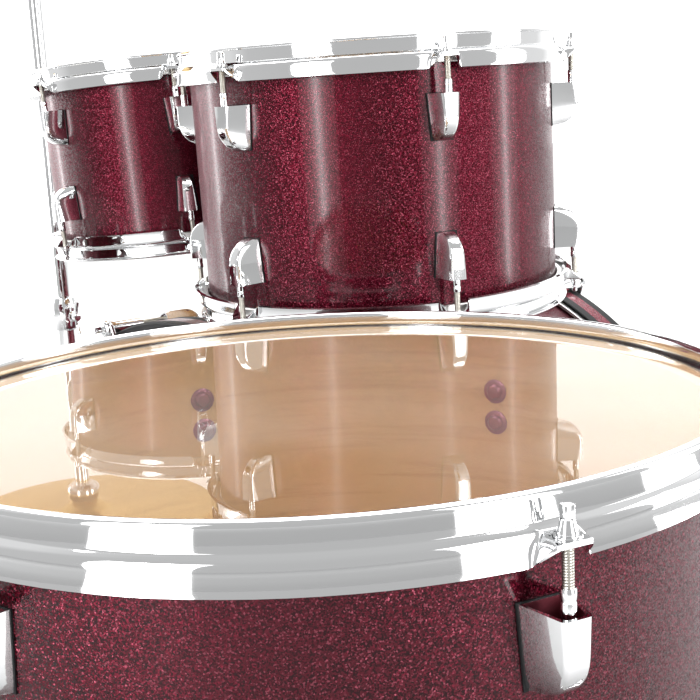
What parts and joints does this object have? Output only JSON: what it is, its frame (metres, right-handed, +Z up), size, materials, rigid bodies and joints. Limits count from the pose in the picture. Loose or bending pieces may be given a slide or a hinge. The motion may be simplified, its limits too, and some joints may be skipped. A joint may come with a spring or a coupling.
{
  "type": "drum kit",
  "caption": "Acoustic drum kit with sparkle-lacquered shells, chrome triple-flange hoops, mounted toms, floor tom, bass drum with pedal, snare drum and hi-hat.",
  "frame": {"origin": "middle of the kit's plan outline, on the floor", "axes": "+X to the drummer's right, +Y away from the drummer, +Z up"},
  "size_m": [1.4374, 1.0278, 1.129],
  "materials": {
    "wine_sparkle": "wine sparkle lacquer over a plywood shell, high gloss",
    "bass_hoop": "wine sparkle inlay between gloss black bands on a wooden hoop",
    "head_film": "clear polyester film, glossy",
    "chrome": "polished chrome plate",
    "cast_plate": "satin cast plate with raised grip ribs",
    "wire_steel": "coiled steel wire",
    "cymbal_bronze": "lathed bronze",
    "beater_felt": "pressed felt on a steel shaft",
    "black_rubber": "matt rubber"
  },
  "bodies": {
    "kit": {"bass_shell": "wine_sparkle", "bass_batter_head": "head_film", "bass_front_head": "head_film", "bass_batter_hoop": "bass_hoop", "bass_front_hoop": "bass_hoop", "spur_bracket_left": "chrome", "spur_bracket_right": "chrome", "tom_mount": "chrome", "floor_tom_shell": "wine_sparkle", "floor_tom_batter_head": "head_film", "floor_tom_bottom_head": "head_film", "floor_tom_batter_hoop": "chrome", "floor_tom_bottom_hoop": "chrome", "leg_bracket_1": "chrome", "leg_bracket_2": "chrome", "leg_bracket_3": "chrome", "snare_shell": "wine_sparkle", "snare_batter_head": "head_film", "snare_bottom_head": "head_film", "snare_batter_hoop": "chrome", "snare_bottom_hoop": "chrome", "snare_wires": "wire_steel", "snare_stand": "chrome", "hihat_stand": "chrome", "hihat_bottom_cymbal": "cymbal_bronze", "pedal_frame": "chrome"},
    "spur_left": {"bass_spur_left": "chrome"},
    "spur_right": {"bass_spur_right": "chrome"},
    "low_tom_height": {"low_tom_post": "chrome"},
    "low_tom_turn": {"low_tom_swivel": "chrome"},
    "low_tom_tilt": {"low_tom_tilter": "chrome", "low_tom_arm": "chrome"},
    "low_tom_drum": {"low_tom_shell": "wine_sparkle", "low_tom_batter_head": "head_film", "low_tom_bottom_head": "head_film", "low_tom_batter_hoop": "chrome", "low_tom_bottom_hoop": "chrome", "low_tom_bracket": "chrome"},
    "high_tom_height": {"high_tom_post": "chrome"},
    "high_tom_turn": {"high_tom_swivel": "chrome"},
    "high_tom_tilt": {"high_tom_tilter": "chrome", "high_tom_arm": "chrome"},
    "high_tom_drum": {"high_tom_shell": "wine_sparkle", "high_tom_batter_head": "head_film", "high_tom_bottom_head": "head_film", "high_tom_batter_hoop": "chrome", "high_tom_bottom_hoop": "chrome", "high_tom_bracket": "chrome"},
    "floor_leg_1": {"leg_1": "chrome", "foot_1": "black_rubber"},
    "floor_leg_2": {"leg_2": "chrome", "foot_2": "black_rubber"},
    "floor_leg_3": {"leg_3": "chrome", "foot_3": "black_rubber"},
    "pedal_plate": {"pedal_footboard": "cast_plate"},
    "pedal_striker": {"pedal_beater": "beater_felt"},
    "hihat_plate": {"hihat_footboard": "cast_plate"},
    "hihat_top": {"hihat_top_cymbal": "cymbal_bronze", "hihat_pull_rod": "chrome"},
    "strainer": {"strainer_lever": "chrome"}
  },
  "joints": [
    {"name": "spur_left_fold", "type": "hinge", "parent": "kit", "child": "spur_left", "pos_m": [-0.30318, 0.3479, 0.16907], "axis": [1, 0, 0], "range_deg": [0, 75]},
    {"name": "spur_right_fold", "type": "hinge", "parent": "kit", "child": "spur_right", "pos_m": [0.29906, 0.3479, 0.16907], "axis": [1, 0, 0], "range_deg": [0, 75]},
    {"name": "low_tom_post_height", "type": "slide", "parent": "kit", "child": "low_tom_height", "axis": [0, 0, 1], "range_m": [0, 0.06]},
    {"name": "low_tom_swing", "type": "hinge", "parent": "low_tom_height", "child": "low_tom_turn", "pos_m": [0.02894, 0.3529, 0.76639], "axis": [0, 0, 1], "range_deg": [-2, 20]},
    {"name": "low_tom_tilt_angle", "type": "hinge", "parent": "low_tom_turn", "child": "low_tom_tilt", "pos_m": [0.02894, 0.3529, 0.76639], "axis": [0.852, 0.5235, 0], "range_deg": [-18, 0.8]},
    {"name": "low_tom_reach", "type": "slide", "parent": "low_tom_tilt", "child": "low_tom_drum", "axis": [0.0237, -0.0386, 0.999], "range_m": [0, 0.018]},
    {"name": "high_tom_post_height", "type": "slide", "parent": "kit", "child": "high_tom_height", "axis": [0, 0, 1], "range_m": [-0.03, 0.06]},
    {"name": "high_tom_swing", "type": "hinge", "parent": "high_tom_height", "child": "high_tom_turn", "pos_m": [-0.03306, 0.3529, 0.7907], "axis": [0, 0, 1], "range_deg": [-20, 2]},
    {"name": "high_tom_tilt_angle", "type": "hinge", "parent": "high_tom_turn", "child": "high_tom_tilt", "pos_m": [-0.03306, 0.3529, 0.7907], "axis": [0.7928, -0.6095, 0], "range_deg": [-18, 9]},
    {"name": "high_tom_reach", "type": "slide", "parent": "high_tom_tilt", "child": "high_tom_drum", "axis": [-0.0308, -0.0401, 0.9987], "range_m": [-0.018, 0.018]},
    {"name": "leg_1_height", "type": "slide", "parent": "kit", "child": "floor_leg_1", "axis": [0, 0, 1], "range_m": [-0.05, 0.08]},
    {"name": "leg_2_height", "type": "slide", "parent": "kit", "child": "floor_leg_2", "axis": [0, 0, 1], "range_m": [-0.05, 0.08]},
    {"name": "leg_3_height", "type": "slide", "parent": "kit", "child": "floor_leg_3", "axis": [0, 0, 1], "range_m": [-0.05, 0.08]},
    {"name": "pedal_press", "type": "hinge", "parent": "kit", "child": "pedal_plate", "pos_m": [-0.00206, -0.3096, 0.018], "axis": [1, 0, 0], "range_deg": [-13, 0], "stiffness_Nm_per_rad": 4, "springref_deg": 22.92},
    {"name": "pedal_beater_swing", "type": "hinge", "parent": "kit", "child": "pedal_striker", "pos_m": [-0.00206, -0.0096, 0.15], "axis": [1, 0, 0], "range_deg": [-46, 0]},
    {"name": "hihat_press", "type": "hinge", "parent": "kit", "child": "hihat_plate", "pos_m": [-0.49706, -0.1621, 0.016], "axis": [1, 0, 0], "range_deg": [-9, 0], "stiffness_Nm_per_rad": 12, "springref_deg": 28.65},
    {"name": "hihat_close", "type": "slide", "parent": "kit", "child": "hihat_top", "axis": [0, 0, 1], "range_m": [-0.0185, 0]},
    {"name": "strainer_throw", "type": "hinge", "parent": "kit", "child": "strainer", "pos_m": [-0.4351, -0.38378, 0.546], "axis": [0.3827, -0.9239, 0], "range_deg": [0, 65]}
  ],
  "couplings": [
    {"joint": "pedal_beater_swing", "follows": "pedal_press", "ratio": 3.5},
    {"joint": "hihat_close", "follows": "hihat_press", "m_per_rad": 0.1146}
  ]
}
